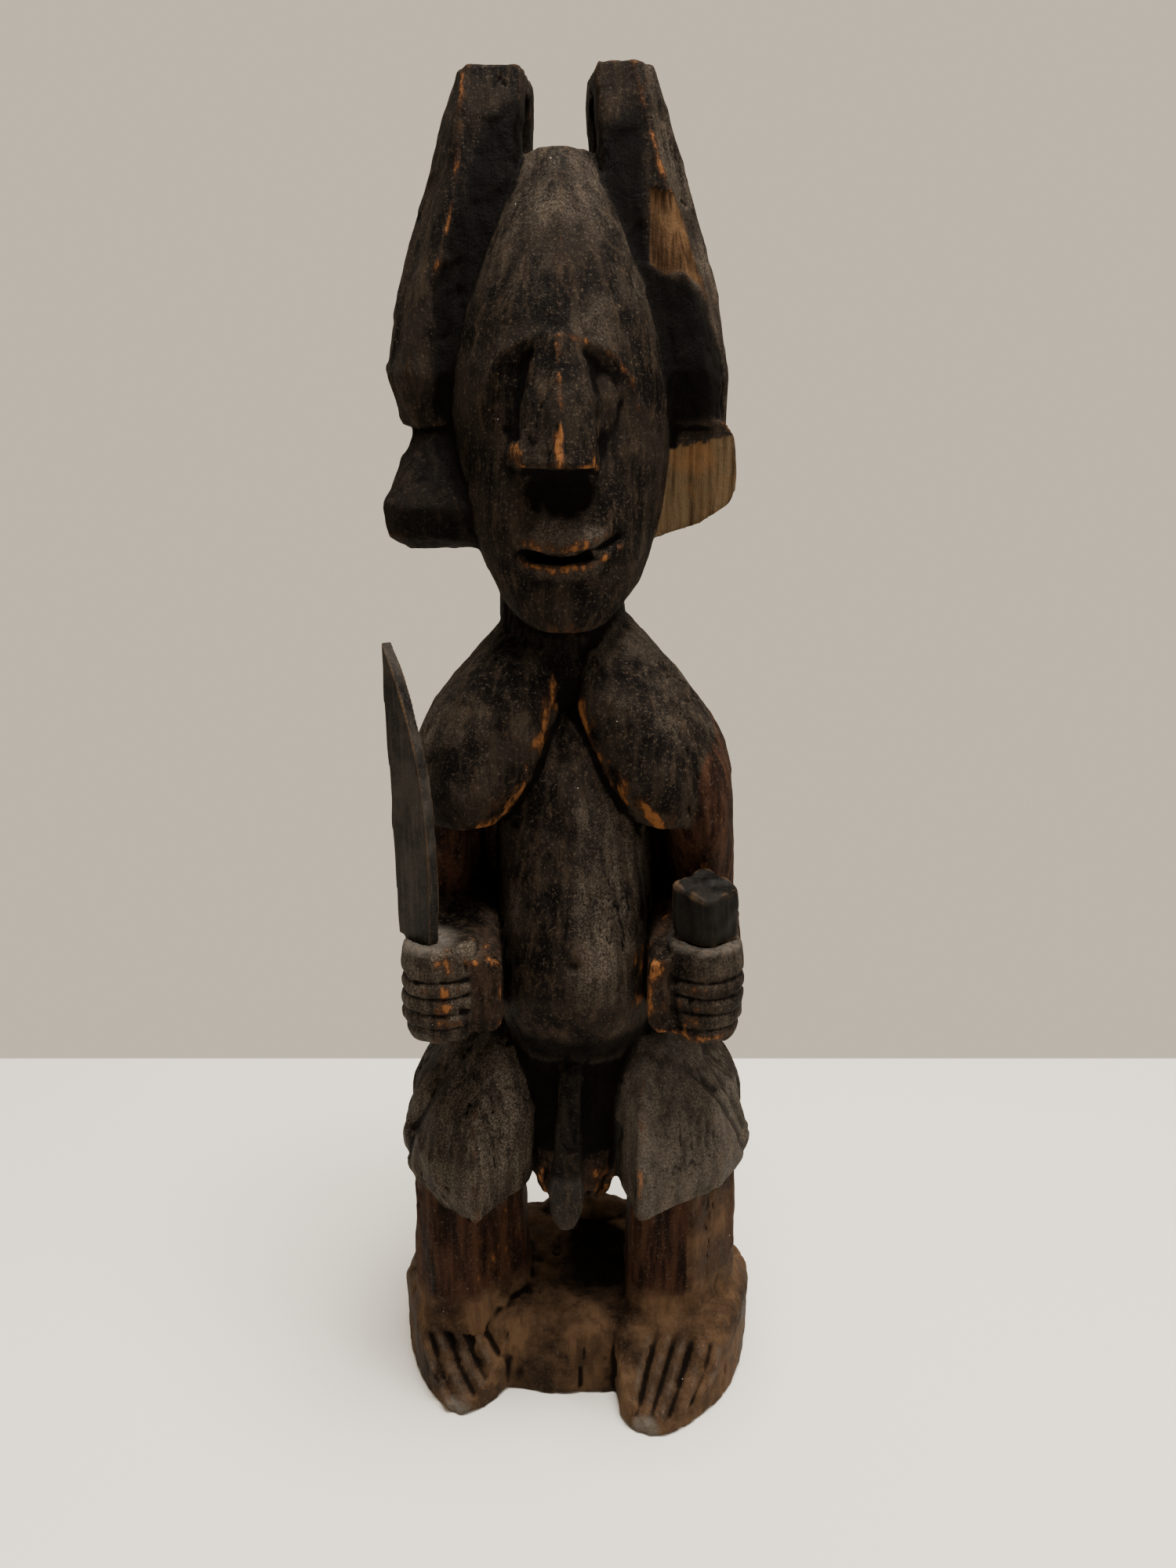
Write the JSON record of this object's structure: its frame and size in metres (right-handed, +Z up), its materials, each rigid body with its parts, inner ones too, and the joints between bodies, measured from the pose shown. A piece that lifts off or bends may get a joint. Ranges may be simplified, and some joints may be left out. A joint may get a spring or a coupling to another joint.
{
  "type": "carved wooden figure",
  "caption": "Carved wooden standing figure with a tall split crest, holding a machete and a broken staff, on an oval base.",
  "frame": {"origin": "in the flat underside of the base, midway between the legs", "axes": "+Z up to the crest, +X towards the figure's left hand, -Y the way the figure faces"},
  "size_m": [0.136, 0.1015, 0.45],
  "materials": {
    "patina_wood": "blackened hand-carved wood, dry and dusty",
    "worn_wood": "dark red-brown hand-carved wood, worn",
    "foot_wood": "earthy brown hand-carved wood, worn and dusty",
    "bare_wood": "bare split wood, matte",
    "blade_wood": "smooth grey-black wood, matte"
  },
  "bodies": {
    "root": {"base": "foot_wood", "right_foot": "foot_wood", "left_foot": "foot_wood", "right_shin": "worn_wood", "left_shin": "worn_wood", "right_thigh": "patina_wood", "left_thigh": "patina_wood", "right_buttock": "patina_wood", "left_buttock": "patina_wood", "pelvis": "worn_wood", "loin_pendant": "patina_wood", "belly": "patina_wood", "back": "patina_wood", "right_chest_lobe": "patina_wood", "left_chest_lobe": "patina_wood", "right_upper_arm": "worn_wood", "left_upper_arm": "worn_wood", "right_forearm": "worn_wood", "left_forearm": "worn_wood", "right_fist": "patina_wood", "left_fist": "patina_wood", "machete_blade": "blade_wood", "staff_stub": "blade_wood", "neck": "patina_wood", "head": "patina_wood", "nose": "patina_wood", "upper_lip": "patina_wood", "lower_lip": "patina_wood", "right_eye": "patina_wood", "left_eye": "patina_wood", "right_crest_lobe": "patina_wood", "left_crest_lobe": "patina_wood", "right_ear_lug": "patina_wood", "left_ear_lug": "bare_wood"}
  },
  "joints": []
}
